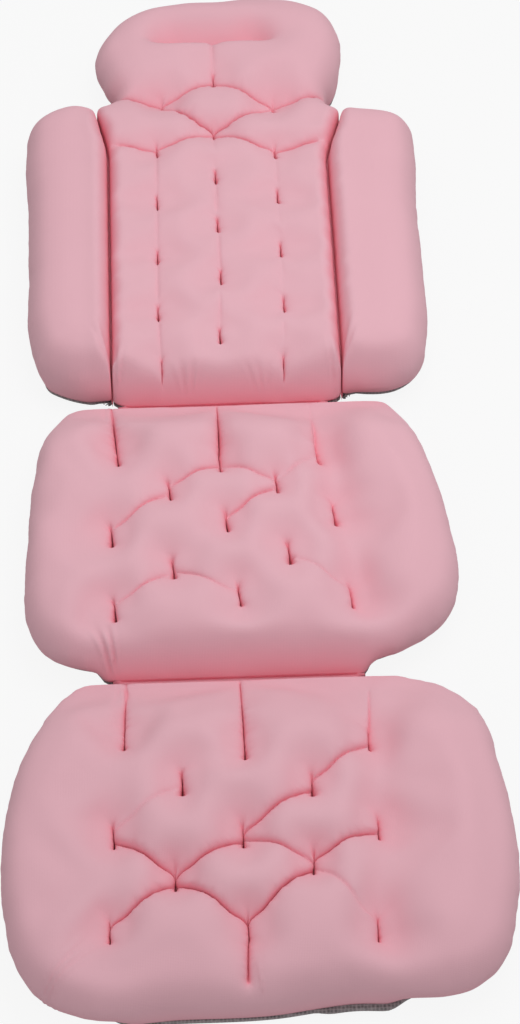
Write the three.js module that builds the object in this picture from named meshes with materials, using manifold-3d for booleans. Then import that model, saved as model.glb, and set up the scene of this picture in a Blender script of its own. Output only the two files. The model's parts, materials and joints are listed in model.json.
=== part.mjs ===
// Full-length bath pillow: head, back, seat and leg cushions in a row, and a bolster on each side.
// Each cushion is a fabric cover filled with fibre over a mesh panel. They fold at the sewn lines between.
// Millimetres, +Z up, head end towards +Y. The origin lies on the tub's surface, under the pillow's middle.
import * as THREE from 'three';
import { mergeVertices } from 'three/addons/utils/BufferGeometryUtils.js';
import Module from 'manifold-3d';

const wasm = await Module();
wasm.setup();

// Lengths between the fold lines, from the foot end to the head end
const legLength = 330;
const seatLength = 305;
const backLength = 375;
const headLength = 130;

// Widths where each cushion is widest, and at its ends
const legWidth = 418;
const seatWidth = 378;
const headWidth = 248;
const quiltWidth = 212;
const bolsterWidth = 81;
const footEndWidth = 268;
const kneeWidth = 272;
const hipWidth = 276;
const neckWidth = 222;
const headTopWidth = 124;
const bolsterEndWidth = 46;
const bolsterSeamRounding = 10;

// How far the rounded corners run along each cushion from its ends
const legFootCorner = 130;
const legKneeCorner = 190;
const seatKneeCorner = 95;
const seatHipCorner = 200;
const headNeckCorner = 55;
const headTopCorner = 75;
const bolsterCorner = 48;

// Heights of the crowns above the mesh panel
const legCrown = 62;
const seatCrown = 60;
const backCrown = 54;
const headCrown = 56;
const bolsterCrown = 58;

// Sides of the cushions: the height where they are widest, and how far the seam below is drawn in
const girthHeight = 17;
const sideDrawIn = 8;
const shoulderRun = 46;
const foldShoulderRun = 32;
const sideFoldRun = 14;
const rearSlopeRun = 92;

// Tufts: the pitch across and along, and the place of the first row
const legTuftColumn = 54;
const legTuftRow = 44.5;
const legFirstTuft = 64;
const seatTuftColumn = 51;
const seatTuftRow = 39;
const seatFirstTuft = 64;
const backTuftColumn = 57;
const backTuftRow = 33.4;
const backFirstTuft = 27;
const headHollowColumn = 24;
const headHollowRow = 38;
const headFirstTuft = 28;

// How deep the tufts and the creases between them tie the cover down, and how far their dents run
const legTuftDepth = 17;
const seatTuftDepth = 15;
const backTuftDepth = 11;
const headTuftDepth = 14;
const legCreaseDepth = 7;
const seatCreaseDepth = 5;
const backCreaseDepth = 3;
const headHollowDepth = 24;
const tuftRadius = 19;
const creaseRadius = 12;

// Counts of the tuft rows, and of the tuft columns on each side of the middle
const legTuftRows = 5;
const seatTuftRows = 5;
const backTuftRows = 10;
const headHollowRows = 2;
const wideColumns = 2;
const backColumns = 1;

// Sheet thicknesses
const coverThickness = 1.6;
const meshThickness = 5;

// Suction cups
const cupRadius = 20;
const cupHeight = 8;
const cupRimWidth = 3;
const cupRimThickness = 1;
const cupHollow = 3.2;
const cupShoulderRadius = 9;
const cupShoulderDrop = 2.2;
const cupCollarRadius = 7;
const cupNeckRadius = 5;
const cupButtonRadius = 8;
const cupButtonHeight = 3.4;
const cupFacets = 12;

// Places of the cups: their distance from the sides and from the ends of the cushion
const legCupSide = 105;
const legCupEnd = 74;
const seatCupSide = 103;
const seatCupEnd = 74;
const backCupSide = 46;
const backCupEnd = 74;
const headCupSide = 62;
const headCupEnd = 52;
const bolsterCupEnd = 62;

// Fold ranges in degrees, and the clearances
const foldForward = 45;
const foldBack = 90;
const bolsterIn = 6;
const bolsterOut = 45;
const foldMargin = 1.5;
const bolsterEndClear = 10;
const gap = 0.3;
const fillClearance = 0.5;

// Places worked out from the sizes above
const pillowLength = legLength + seatLength + backLength + headLength;
const footY = -pillowLength / 2;
const kneeY = footY + legLength;
const hipY = kneeY + seatLength;
const neckY = hipY + backLength;
const meshBottom = cupHeight;
const meshTop = meshBottom + meshThickness;
const foldZ = meshBottom + meshThickness / 2;
const coverBottom = meshTop + gap;
const girthZ = meshTop + girthHeight;

// Share of the way from a cushion's edge to its first tuft at which grid lines lie
const acrossMargins = [0, 0.22, 0.58];
const alongMargins = [0, 0.14, 0.5];
const backMargins = [0, 0.5];
const stepsPerTuft = 2;
const mergeTolerance = 1e-4;

const coverMaterial = new THREE.MeshStandardMaterial({ color: 0xdbafb7, roughness: 0.9, metalness: 0 });
const fillMaterial = new THREE.MeshStandardMaterial({ color: 0xf2f0ec, roughness: 1, metalness: 0 });
const meshMaterial = new THREE.MeshStandardMaterial({ color: 0x5e585b, roughness: 0.95, metalness: 0 });
const cupMaterial = new THREE.MeshStandardMaterial({ color: 0xdfe6ea, roughness: 0.25, metalness: 0 });

const radians = THREE.MathUtils.degToRad;
const lerp = THREE.MathUtils.lerp;

// An edge that is free bulges past its seam. An edge on a fold leans back so that the fold can close.
const freeEdge = { fold: false, run: shoulderRun };
function foldEdge(forward, back, run, gentle) {
  const over = Math.tan(radians(forward / 2 + foldMargin));
  const under = Math.tan(radians(back / 2 + foldMargin));
  return { fold: true, run, gentle, over, under };
}
const crossFold = foldEdge(foldForward, foldBack, foldShoulderRun, false);
const rearFold = foldEdge(foldForward, foldBack, rearSlopeRun, true);
const bolsterFold = foldEdge(bolsterIn, bolsterOut, sideFoldRun, false);

// How far an edge lies inside the cushion's outline at a height
function edgeInset(edge, z) {
  if (edge.fold) {
    const lean = z > foldZ ? edge.over : edge.under;
    return gap / 2 + Math.abs(z - foldZ) * lean;
  }
  const rise = (z - meshTop) / girthHeight;
  return sideDrawIn * (1 - THREE.MathUtils.clamp(rise, 0, 1));
}

// Reach of a side from the cushion's middle line, at a share v of the cushion's length
function sideReach(pad, side, v) {
  const along = v * pad.length;
  const fromEnd = pad.length - along;
  if (along < pad.startCorner) {
    const t = 1 - along / pad.startCorner;
    return lerp(side.startReach, side.reach, Math.sqrt(1 - t * t));
  }
  if (fromEnd < pad.endCorner) {
    const t = 1 - fromEnd / pad.endCorner;
    return lerp(side.endReach, side.reach, Math.sqrt(1 - t * t));
  }
  return side.reach;
}

// Plan place of grid share (u, v) on the cushion's outline at height z, with its distances to the four edges
function planPoint(pad, u, v, z) {
  const low = pad.start + edgeInset(pad.edges.start, z);
  const high = pad.start + pad.length - edgeInset(pad.edges.end, z);
  const left = pad.middle - sideReach(pad, pad.left, v) + edgeInset(pad.edges.left, z);
  const right = pad.middle + sideReach(pad, pad.right, v) - edgeInset(pad.edges.right, z);
  const x = lerp(left, right, u);
  const y = lerp(low, high, v);
  return { x, y, start: y - low, end: high - y, left: x - left, right: right - x };
}

// Grid shares of a place in the tuft pattern, counted in tuft columns and rows
function patternShare(pad, column, row) {
  const across = pad.left.reach + pad.right.reach;
  const u = (pad.left.reach + column * pad.columnPitch) / across;
  const v = (pad.firstRow + row * pad.rowPitch) / pad.length;
  return { u, v };
}

// Grid lines through the tufts and midway between them, and a few more out to both edges
function gridLines(first, last, steps, margins) {
  const lines = [];
  for (const share of margins) {
    lines.push(first * share);
  }
  for (let step = 0; step <= steps; step += 1) {
    lines.push(steps ? lerp(first, last, step / steps) : first);
  }
  for (const share of [...margins].reverse()) {
    lines.push(1 - (1 - last) * share);
  }
  return lines;
}

// Dents in a cushion's crown: tufts, and creases between two places of the tuft pattern
function dentsOf(pad) {
  const place = ([column, row]) => {
    const { u, v } = patternShare(pad, column, row);
    const { x, y } = planPoint(pad, u, v, girthZ);
    return new THREE.Vector3(x, y, 0);
  };
  const tufts = pad.tufts.map(place);
  const creases = pad.creases.map(([a, b]) => new THREE.Line3(place(a), place(b)));
  return { tufts, creases };
}

// Depth to which the crown is tied down at a plan place
function dentDepth(pad, dents, x, y) {
  const spot = new THREE.Vector3(x, y, 0);
  const nearest = new THREE.Vector3();
  let depth = 0;
  for (const tuft of dents.tufts) {
    const distance = tuft.distanceTo(spot) / tuftRadius;
    depth = Math.max(depth, pad.tuftDepth * Math.exp(-distance * distance));
  }
  for (const crease of dents.creases) {
    crease.closestPointToPoint(spot, true, nearest);
    const distance = nearest.distanceTo(spot) / creaseRadius;
    depth = Math.max(depth, pad.creaseDepth * Math.exp(-distance * distance));
  }
  return depth;
}

// Rise of the crown near an edge: a quarter round, a slope that keeps clear of a fold, or a gentle slope
function shoulder(edge, distance) {
  const t = Math.min(distance / edge.run, 1);
  if (edge.gentle) return t * t * (3 - 2 * t);
  return edge.fold ? Math.sin(t * Math.PI / 2) : Math.sqrt(1 - (1 - t) ** 2);
}

// Top skin of a cushion: its grid of points, then the ring of its seam below the outline
function skinOf(pad) {
  const dents = dentsOf(pad);
  const { columns, rows } = pad;
  const points = [];
  for (const v of rows) {
    for (const u of columns) {
      const at = planPoint(pad, u, v, girthZ);
      let rise = meshTop + pad.crown - girthZ;
      for (const name of ['start', 'end', 'left', 'right']) {
        rise *= shoulder(pad.edges[name], at[name]);
      }
      const share = rise / (meshTop + pad.crown - girthZ);
      const dent = share * dentDepth(pad, dents, at.x, at.y);
      points.push(new THREE.Vector3(at.x, at.y, girthZ + rise - dent));
    }
  }
  const loop = outlineLoop(pad);
  for (const { u, v } of loop) {
    const at = planPoint(pad, u, v, coverBottom);
    points.push(new THREE.Vector3(at.x, at.y, coverBottom));
  }
  const ringStart = columns.length * rows.length;
  const ring = loop.map((_, k) => ringStart + k);
  return { points, faces: skinFaces(pad, points, loop), ring };
}

// Grid places round a cushion's outline, anticlockwise from its lower left corner
function outlineLoop(pad) {
  const { columns, rows } = pad;
  const lastColumn = columns.length - 1;
  const lastRow = rows.length - 1;
  const loop = [];
  const visit = (i, j) => loop.push({ u: columns[i], v: rows[j], index: j * columns.length + i });
  for (let i = 0; i < lastColumn; i += 1) visit(i, 0);
  for (let j = 0; j < lastRow; j += 1) visit(lastColumn, j);
  for (let i = lastColumn; i > 0; i -= 1) visit(i, lastRow);
  for (let j = lastRow; j > 0; j -= 1) visit(0, j);
  return loop;
}

// Triangles of the top skin. A cell is split along its lower diagonal, so that the creases stay sharp,
// and a corner cell along the diagonal that rises from the corner.
function skinFaces(pad, points, loop) {
  const wide = pad.columns.length;
  const high = pad.rows.length;
  const faces = [];
  for (let j = 0; j + 1 < high; j += 1) {
    for (let i = 0; i + 1 < wide; i += 1) {
      const a = j * wide + i;
      const b = a + 1;
      const c = b + wide;
      const d = a + wide;
      const atSide = i === 0 || i + 2 === wide;
      const atEnd = j === 0 || j + 2 === high;
      const cornerFromA = (i === 0) === (j === 0);
      const lowerFromA = points[a].z + points[c].z < points[b].z + points[d].z;
      if (atSide && atEnd ? cornerFromA : lowerFromA) {
        faces.push([a, b, c], [a, c, d]);
      } else {
        faces.push([a, b, d], [b, c, d]);
      }
    }
  }
  const ringStart = wide * high;
  loop.forEach((corner, k) => {
    const next = (k + 1) % loop.length;
    const low = ringStart + k;
    const lowNext = ringStart + next;
    faces.push([low, lowNext, loop[next].index], [low, loop[next].index, corner.index]);
  });
  return faces;
}

// The skin moved inwards by a distance, with its seam ring kept at the cover's lower edge
function insetSkin(skin, distance) {
  const geometry = geometryOf(skin.points, skin.faces);
  geometry.computeVertexNormals();
  const normals = geometry.getAttribute('normal');
  const onRing = new Set(skin.ring);
  return skin.points.map((point, k) => {
    const normal = new THREE.Vector3().fromBufferAttribute(normals, k);
    if (onRing.has(k)) normal.setZ(0).normalize();
    return point.clone().addScaledVector(normal, -distance);
  });
}

// Indexed geometry of points and triangles
function geometryOf(points, faces) {
  const geometry = new THREE.BufferGeometry().setFromPoints(points);
  geometry.setIndex(faces.flat());
  return geometry;
}

// Fabric cover: the skin and its inner side, joined round the seam
function coverGeometry(skin) {
  const inner = insetSkin(skin, coverThickness);
  const shift = skin.points.length;
  const faces = [...skin.faces];
  for (const [a, b, c] of skin.faces) {
    faces.push([a + shift, c + shift, b + shift]);
  }
  skin.ring.forEach((a, k) => {
    const b = skin.ring[(k + 1) % skin.ring.length];
    faces.push([a, a + shift, b], [b, a + shift, b + shift]);
  });
  return geometryOf([...skin.points, ...inner], faces);
}

// Fibre filling: the space under the cover, closed below, with a pocket over each cup's button
function fillGeometry(skin, cups) {
  const points = insetSkin(skin, coverThickness + fillClearance);
  const faces = [...skin.faces];
  closeRing(points, faces, skin.ring, true);
  const pockets = cups.map(({ x, y }) => {
    const height = cupButtonHeight + 2 * gap;
    return roundTool(cupButtonRadius + gap, height, x, y, coverBottom - gap + height / 2);
  });
  return cut(geometryOf(points, faces), pockets);
}

// Closes a ring of points with a fan about its middle, facing down or up
function closeRing(points, faces, ring, facingDown) {
  const middle = new THREE.Vector3();
  ring.forEach((k) => middle.add(points[k]));
  points.push(middle.divideScalar(ring.length));
  const centre = points.length - 1;
  ring.forEach((a, k) => {
    const b = ring[(k + 1) % ring.length];
    faces.push(facingDown ? [b, a, centre] : [a, b, centre]);
  });
}

// Mesh panel: a flat sheet whose fold edges thin out to the fold line, with a hole for each cup's neck
function meshGeometry(pad, cups) {
  const loop = outlineLoop(pad);
  const count = loop.length;
  const points = [];
  for (const z of [meshBottom, foldZ, meshTop]) {
    for (const { u, v } of loop) {
      const at = planPoint(pad, u, v, z);
      points.push(new THREE.Vector3(at.x, at.y, z));
    }
  }
  const faces = [];
  for (let k = 0; k < 2 * count; k += 1) {
    const next = k - (k % count) + ((k + 1) % count);
    faces.push([k, next, next + count], [k, next + count, k + count]);
  }
  const bottomRing = loop.map((_, k) => k);
  const topRing = loop.map((_, k) => 2 * count + k);
  closeRing(points, faces, bottomRing, true);
  closeRing(points, faces, topRing, false);
  const holes = cups.map(({ x, y }) => roundTool(cupNeckRadius + gap, meshThickness * 2, x, y, foldZ));
  return cut(geometryOf(points, faces), holes);
}

// Suction cup: a shallow bell on a neck that passes through the mesh and ends in a button above it
function cupGeometry() {
  const profile = [
    [0, cupHollow],
    [cupRadius - cupRimWidth, 0],
    [cupRadius, 0],
    [cupRadius, cupRimThickness],
    [cupShoulderRadius, cupHeight - cupShoulderDrop],
    [cupCollarRadius, cupHeight - gap],
    [cupNeckRadius, cupHeight - gap],
    [cupNeckRadius, coverBottom],
    [cupButtonRadius, coverBottom],
    [cupButtonRadius, coverBottom + cupButtonHeight],
    [0, coverBottom + cupButtonHeight],
  ];
  const points = profile.map(([radius, height]) => new THREE.Vector2(radius, height));
  return new THREE.LatheGeometry(points, cupFacets).rotateX(Math.PI / 2);
}

// Cylinder that a hole or pocket is cut with
function roundTool(radius, height, x, y, z) {
  const tool = new THREE.CylinderGeometry(radius, radius, height, cupFacets);
  return tool.rotateX(Math.PI / 2).translate(x, y, z);
}

// Solid of a closed geometry, its shared corners merged
function solidOf(geometry) {
  const bare = geometry.clone();
  bare.deleteAttribute('normal');
  bare.deleteAttribute('uv');
  const merged = mergeVertices(bare, mergeTolerance);
  const vertProperties = merged.getAttribute('position').array;
  const triVerts = new Uint32Array(merged.getIndex().array);
  return new wasm.Manifold(new wasm.Mesh({ numProp: 3, vertProperties, triVerts }));
}

// A geometry with tools cut out of it
function cut(geometry, tools) {
  let solid = solidOf(geometry);
  for (const tool of tools) {
    solid = solid.subtract(solidOf(tool));
  }
  const mesh = solid.getMesh();
  const result = new THREE.BufferGeometry();
  result.setAttribute('position', new THREE.BufferAttribute(mesh.vertProperties, mesh.numProp));
  result.setIndex(new THREE.BufferAttribute(mesh.triVerts, 1));
  return result;
}

// Tufts in staggered rows, with the creases that run from each to its neighbours in the next row
function staggered(rowCount, columnReach, oddFirst) {
  const tufts = [];
  for (let row = 0; row < rowCount; row += 1) {
    for (let column = -columnReach; column <= columnReach; column += 1) {
      const even = (column + row) % 2 === 0;
      if (even !== oddFirst) tufts.push([column, row]);
    }
  }
  const creases = [];
  for (const a of tufts) {
    for (const b of tufts) {
      if (b[1] === a[1] + 1 && Math.abs(b[0] - a[0]) === 1) creases.push([a, b]);
    }
  }
  return { tufts, creases };
}

// Pleats from the tufts of the first and last rows to the cushion's ends
function endPleats(pad) {
  const startRow = -pad.firstRow / pad.rowPitch;
  const endRow = (pad.length - pad.firstRow) / pad.rowPitch;
  const pleats = [];
  for (const [column, row] of pad.tufts) {
    if (row === 0) pleats.push([[column, row], [column, startRow]]);
    if (row === pad.rowCount - 1) pleats.push([[column, row], [column, endRow]]);
  }
  return pleats;
}

// Pleats from the outermost tufts to the cushion's sides
function sidePleats(pad) {
  const sideColumn = pad.right.reach / pad.columnPitch;
  const outer = pad.tufts.filter(([column]) => Math.abs(column) === pad.columnReach);
  return outer.map(([column, row]) => [[column, row], [Math.sign(column) * sideColumn, row]]);
}

// A side of a cushion: its reach from the middle line, and its reach at the two ends
const sideOf = (reach, startReach, endReach) => ({ reach, startReach, endReach });

// The grid lines of a cushion, once its tuft pattern is known
function finishPad(pad) {
  const first = patternShare(pad, -pad.columnReach, 0);
  const last = patternShare(pad, pad.columnReach, pad.rowCount - 1);
  pad.columns = gridLines(first.u, last.u, pad.columnReach * 2 * stepsPerTuft, acrossMargins);
  pad.rows = gridLines(first.v, last.v, (pad.rowCount - 1) * stepsPerTuft, pad.margins);
  return pad;
}

function makeLeg() {
  const side = sideOf(legWidth / 2, footEndWidth / 2, kneeWidth / 2);
  const pad = {
    name: 'leg', start: footY, length: legLength, middle: 0, crown: legCrown, left: side, right: side,
    tuftDepth: legTuftDepth, creaseDepth: legCreaseDepth,
    startCorner: legFootCorner, endCorner: legKneeCorner,
    edges: { start: freeEdge, end: rearFold, left: freeEdge, right: freeEdge },
    columnPitch: legTuftColumn, rowPitch: legTuftRow, firstRow: legFirstTuft, columnReach: wideColumns,
    rowCount: legTuftRows, margins: alongMargins,
    ...staggered(legTuftRows, wideColumns, false),
  };
  pad.creases.push(...endPleats(pad));
  pad.cups = cupGrid(pad, legCupSide, legCupEnd);
  return finishPad(pad);
}

function makeSeat() {
  const side = sideOf(seatWidth / 2, kneeWidth / 2, hipWidth / 2);
  const pad = {
    name: 'seat', start: kneeY, length: seatLength, middle: 0, crown: seatCrown, left: side, right: side,
    tuftDepth: seatTuftDepth, creaseDepth: seatCreaseDepth,
    startCorner: seatKneeCorner, endCorner: seatHipCorner,
    edges: { start: crossFold, end: rearFold, left: freeEdge, right: freeEdge },
    columnPitch: seatTuftColumn, rowPitch: seatTuftRow, firstRow: seatFirstTuft, columnReach: wideColumns,
    rowCount: seatTuftRows, margins: alongMargins,
    ...staggered(seatTuftRows, wideColumns, false),
  };
  pad.creases.push(...endPleats(pad));
  pad.cups = cupGrid(pad, seatCupSide, seatCupEnd);
  return finishPad(pad);
}

function makeBack() {
  const side = sideOf(quiltWidth / 2, quiltWidth / 2, quiltWidth / 2);
  const pad = {
    name: 'back', start: hipY, length: backLength, middle: 0, crown: backCrown, left: side, right: side,
    tuftDepth: backTuftDepth, creaseDepth: backCreaseDepth,
    startCorner: 0, endCorner: 0,
    edges: { start: crossFold, end: crossFold, left: bolsterFold, right: bolsterFold },
    columnPitch: backTuftColumn, rowPitch: backTuftRow, firstRow: backFirstTuft, columnReach: backColumns,
    rowCount: backTuftRows, margins: backMargins,
    ...staggered(backTuftRows, backColumns, true),
  };
  pad.creases.push(...endPleats(pad), ...sidePleats(pad));
  pad.cups = cupGrid(pad, backCupSide, backCupEnd);
  return finishPad(pad);
}

// The head has one tuft between its two puffs, and a long hollow sewn across behind them
function makeHead() {
  const side = sideOf(headWidth / 2, neckWidth / 2, headTopWidth / 2);
  const pad = {
    name: 'head', start: neckY, length: headLength, middle: 0, crown: headCrown, left: side, right: side,
    tuftDepth: headTuftDepth, creaseDepth: headHollowDepth,
    startCorner: headNeckCorner, endCorner: headTopCorner,
    edges: { start: crossFold, end: freeEdge, left: freeEdge, right: freeEdge },
    columnPitch: headHollowColumn, rowPitch: headHollowRow, firstRow: headFirstTuft, columnReach: wideColumns,
    rowCount: headHollowRows, margins: alongMargins,
    tufts: [[0, 0]],
    creases: [[[-wideColumns, 1], [wideColumns, 1]]],
  };
  pad.cups = cupRow(pad, headCupSide, headLength - headCupEnd);
  return finishPad(pad);
}

// A bolster hangs on the seam beside the back: straight along the seam, rounded at its outer corners
function makeBolster(name, sign) {
  const half = bolsterWidth / 2;
  const seamReach = half - bolsterSeamRounding;
  const seamSide = sideOf(half, seamReach, seamReach);
  const endReach = bolsterEndWidth - half;
  const outerSide = sideOf(half, endReach, endReach);
  const length = backLength - 2 * bolsterEndClear;
  const pad = {
    name, start: hipY + bolsterEndClear, length, middle: sign * (quiltWidth / 2 + half), crown: bolsterCrown,
    left: sign > 0 ? seamSide : outerSide,
    right: sign > 0 ? outerSide : seamSide,
    startCorner: bolsterCorner, endCorner: bolsterCorner,
    edges: {
      start: freeEdge, end: freeEdge,
      left: sign > 0 ? bolsterFold : freeEdge,
      right: sign > 0 ? freeEdge : bolsterFold,
    },
    columnPitch: half, rowPitch: length - 2 * bolsterCorner, firstRow: bolsterCorner, columnReach: 0,
    rowCount: 2, margins: alongMargins, tufts: [], creases: [], tuftDepth: 0, creaseDepth: 0,
  };
  const cupPlaces = [bolsterCupEnd, length - bolsterCupEnd];
  pad.cups = cupPlaces.map((along) => ({ x: pad.middle, y: pad.start + along }));
  return finishPad(pad);
}

// A pair of cups under a cushion, one near each side
function cupRow(pad, side, along) {
  const y = pad.start + along;
  return [{ x: pad.middle - pad.left.reach + side, y }, { x: pad.middle + pad.right.reach - side, y }];
}

// A pair of cups near each end of a cushion
function cupGrid(pad, side, end) {
  return [...cupRow(pad, side, end), ...cupRow(pad, side, pad.length - end)];
}

// One cushion with its cover, filling, mesh panel and cups
function cushion(pad) {
  const skin = skinOf(pad);
  const group = new THREE.Group();
  const piece = (suffix, geometry, material) => {
    const mesh = new THREE.Mesh(geometry, material);
    mesh.name = `${pad.name}_${suffix}`;
    group.add(mesh);
    return mesh;
  };
  piece('cover', coverGeometry(skin), coverMaterial);
  piece('fill', fillGeometry(skin, pad.cups), fillMaterial);
  piece('mesh', meshGeometry(pad, pad.cups), meshMaterial);
  pad.cups.forEach(({ x, y }, k) => {
    piece(`suction_cup_${k + 1}`, cupGeometry(), cupMaterial).position.set(x, y, 0);
  });
  return group;
}

const pillow = new THREE.Group();
const pads = [
  makeLeg(), makeSeat(), makeBack(), makeHead(),
  makeBolster('left_bolster', -1), makeBolster('right_bolster', 1),
];
for (const pad of pads) {
  pillow.add(cushion(pad));
}

export default pillow;
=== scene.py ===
"""Looks of a full-length folding bath pillow: stuffed cushions, mesh panels, cups and stitches."""

import json
import math

import bmesh
import bpy
import numpy as np
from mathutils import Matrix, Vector, geometry, kdtree


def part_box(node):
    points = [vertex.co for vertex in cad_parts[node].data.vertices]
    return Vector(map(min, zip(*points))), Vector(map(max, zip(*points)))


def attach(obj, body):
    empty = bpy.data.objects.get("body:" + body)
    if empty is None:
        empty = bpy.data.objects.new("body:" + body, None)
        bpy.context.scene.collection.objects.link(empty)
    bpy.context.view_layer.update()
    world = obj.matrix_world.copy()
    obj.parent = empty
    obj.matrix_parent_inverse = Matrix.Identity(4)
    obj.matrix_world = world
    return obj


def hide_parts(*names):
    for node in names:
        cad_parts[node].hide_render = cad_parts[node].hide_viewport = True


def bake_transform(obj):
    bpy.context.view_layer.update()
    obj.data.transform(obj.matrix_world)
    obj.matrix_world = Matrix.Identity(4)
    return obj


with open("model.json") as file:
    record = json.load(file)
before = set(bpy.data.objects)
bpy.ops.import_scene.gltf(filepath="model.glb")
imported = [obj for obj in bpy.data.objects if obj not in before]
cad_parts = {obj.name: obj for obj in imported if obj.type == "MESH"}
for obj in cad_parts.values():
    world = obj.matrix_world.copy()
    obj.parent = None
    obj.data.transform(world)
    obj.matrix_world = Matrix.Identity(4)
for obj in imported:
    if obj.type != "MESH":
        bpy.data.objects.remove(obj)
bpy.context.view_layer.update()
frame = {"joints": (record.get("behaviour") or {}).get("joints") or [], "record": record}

MM = 0.001

# Levels and fold lines, taken from the frame
joints = {joint["name"]: joint for joint in frame["joints"]}
neck_y = joints["neck_fold"]["pos_m"][1]
hip_y = joints["hip_fold"]["pos_m"][1]
knee_y = joints["knee_fold"]["pos_m"][1]
axis_z = joints["hip_fold"]["pos_m"][2]
panel_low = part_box("leg_mesh")[0][2]
panel_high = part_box("leg_mesh")[1][2]

# Levels of the sewn line, the widest line and the bottom of the tufts
seam_z = panel_high + 0.5 * MM
girth_z = 29 * MM
tuft_z = 25 * MM

# Cover sheet
sheet_spacing = 4.0 * MM
slit_spacing = 0.7 * sheet_spacing
lattice_clear = 0.62 * sheet_spacing
curve_steps = 20
wall_rings = 3
same_place = 0.01 * MM
merge_reach = 0.001 * MM
least_span = 1e-9
least_square = 1e-12
far_away = Vector((9, 9))

# Sewn line, and gaps at the folds
seam_draw_in = 8 * MM
bare_hem_run = 26 * MM
fold_run = 12 * MM
fold_end = 14 * MM
fold_clear = 0.4 * MM
neck_clear = 1.3 * MM
cross_fold_gap = 5 * MM
side_fold_gap = 0.9 * MM

# Slopes that leave room for the folds, above and below
steep_lean = math.tan(math.radians(17))
gentle_lean = math.tan(math.radians(30.5))
bolster_lean = math.tan(math.radians(18))
lean_softness = 0.22
fold_reach = 40 * MM
cross_under = math.tan(math.radians(46.5))
side_under = math.tan(math.radians(24))

# Bolster seams, where cushions press together
tight_z = 54 * MM
tight_run = 6 * MM
tight_end = 11 * MM
tight_ease = 18 * MM
tight_reach = 4 * MM
press_run = 30 * MM
side_lean = math.tan(math.radians(0.3))
side_reach = 22 * MM
hug_reach = 9 * MM
hug_low = 52 * MM
hug_high = 64 * MM
hug_end = 20 * MM

# Slits, creases and hollows
slit_radius = 2.0 * MM
slit_lip = 2.4 * MM
slit_fade = 0.7
crease_radius = 7 * MM
crease_wide = 0.55
crease_narrow = 0.45
crease_sharpness = 0.8
hollow_end_run = 20 * MM

# Stuffing, and the farthest it may move a point
cloth_frames = 24
cloth_cap = 20 * MM
cloth_settings = {
    "quality": 6,
    "mass": 0.15,
    "tension_stiffness": 20,
    "compression_stiffness": 20,
    "shear_stiffness": 8,
    "bending_stiffness": 2,
    "air_damping": 2,
    "use_pressure": True,
    "uniform_pressure_force": 5.0,
    "pressure_factor": 0,
}

# Evening out the cover, and drawing slits and creases closed
settle_turns = 40
settle_pulls = (0.7, -0.72)
settle_clear = 16 * MM
crease_ease = 0.05
seam_ease = 0.1
seam_turns = 4
seam_pull = 0.5
slit_pinch = 0.93
slit_pinch_reach = 15 * MM
crease_pinch = 0.8
crease_pinch_reach = 8 * MM
pinch_flat = 3 * MM
pinch_run = 9 * MM

# Wrinkles, as shares of their length and width
wrinkle_tip = 0.35
wrinkle_rise = 0.15
wrinkle_fade = 0.4
wrinkle_flat = 0.2
wrinkle_clear = 2 * MM

# Webs of cloth in the sewn lines between cushions
web_sides = 16
web_taper = 3
web_thickness = 1.2 * MM
web_width = 9 * MM
web_lift = 1.4 * MM
web_dip = 4.5 * MM
side_web_width = 4.4 * MM
side_web_z = 41 * MM
side_web_rise = 40 * MM
side_web_dip = 4 * MM

# Mesh panels, cups, bar tacks and stitches
panel_edge = 2.2 * MM
panel_out = -0.5 * MM
panel_rings = 8
cup_sides = 48
tack_place = 0.2
tack_lift = 0.4 * MM
tack_length = 13 * MM
tack_width = 2.6 * MM
tack_height = 1.6 * MM
tack_ridges = 9
stitch_length = 4 * MM
stitch_step = 6.5 * MM
stitch_inset = 6 * MM
thread_width = 0.9 * MM
bar_sides = 8
bar_least_steps = 6
bar_tip = 0.02
ridge_height = 0.12

# Where pieces bend, and where the tacks of the head begin
bolster_bends = {
    "left_bolster": (-123 * MM, -150 * MM),
    "right_bolster": (120 * MM, 147 * MM),
}
head_tacks_y = neck_y - 6 * MM

# Looks
# Painted shade and pink glow in the knit's valleys: the deeper red where its AO node finds it hidden, and
# how far the node looks
painted_valley_shade = (0.92, 0.335, 0.41)
painted_shade_reach = 38 * MM
rib_pitch = 1.3 * MM
course_pitch = 1.1 * MM
thread_pitch = 0.5 * MM
thread_shade = 0.8
paper_white = 0.9
lamp_aim = Vector((0, 0.1, 0))


def smooth_step(t):
    """Eased share from 0 to 1."""
    t = min(max(t, 0.0), 1.0)
    return t * t * (3 - 2 * t)


def smooth_steps(shares):
    """Eased shares from 0 to 1, for an array."""
    shares = np.clip(shares, 0, 1)
    return shares * shares * (3 - 2 * shares)


def end_share(run, low, high, ease):
    """Share that rises from 0 at both ends of a stretch."""
    return smooth_step((run - low) / ease) * smooth_step((high - run) / ease)


def circle(count):
    """Cosine and sine at even turns round a circle."""
    angles = [math.tau * turn / count for turn in range(count)]
    return [(math.cos(angle), math.sin(angle)) for angle in angles]


def closed_curve(points, spacing):
    """Even points along a smooth closed curve through the given ones."""
    stops = [Vector(point) for point in points]
    nexts = stops[1:] + stops[:1]
    spans = [(b - a).length for a, b in zip(stops, nexts)]
    slopes = []
    for k, stop in enumerate(stops):
        before = (stop - stops[k - 1]) / spans[k - 1]
        after = (nexts[k] - stop) / spans[k]
        slopes.append((before * spans[k] + after * spans[k - 1]) / (spans[k] + spans[k - 1]))
    dense = []
    for a, b, span, slope_a, slope_b in zip(stops, nexts, spans, slopes, slopes[1:] + slopes[:1]):
        for step in range(curve_steps):
            t = step / curve_steps
            pull_a = (1 + 2 * t) * (1 - t) ** 2
            pull_b = t * t * (3 - 2 * t)
            lean_a = t * (1 - t) ** 2 * span
            lean_b = t * t * (t - 1) * span
            dense.append(a * pull_a + b * pull_b + slope_a * lean_a + slope_b * lean_b)
    return even_points(dense + dense[:1], spacing)[:-1]


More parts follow.
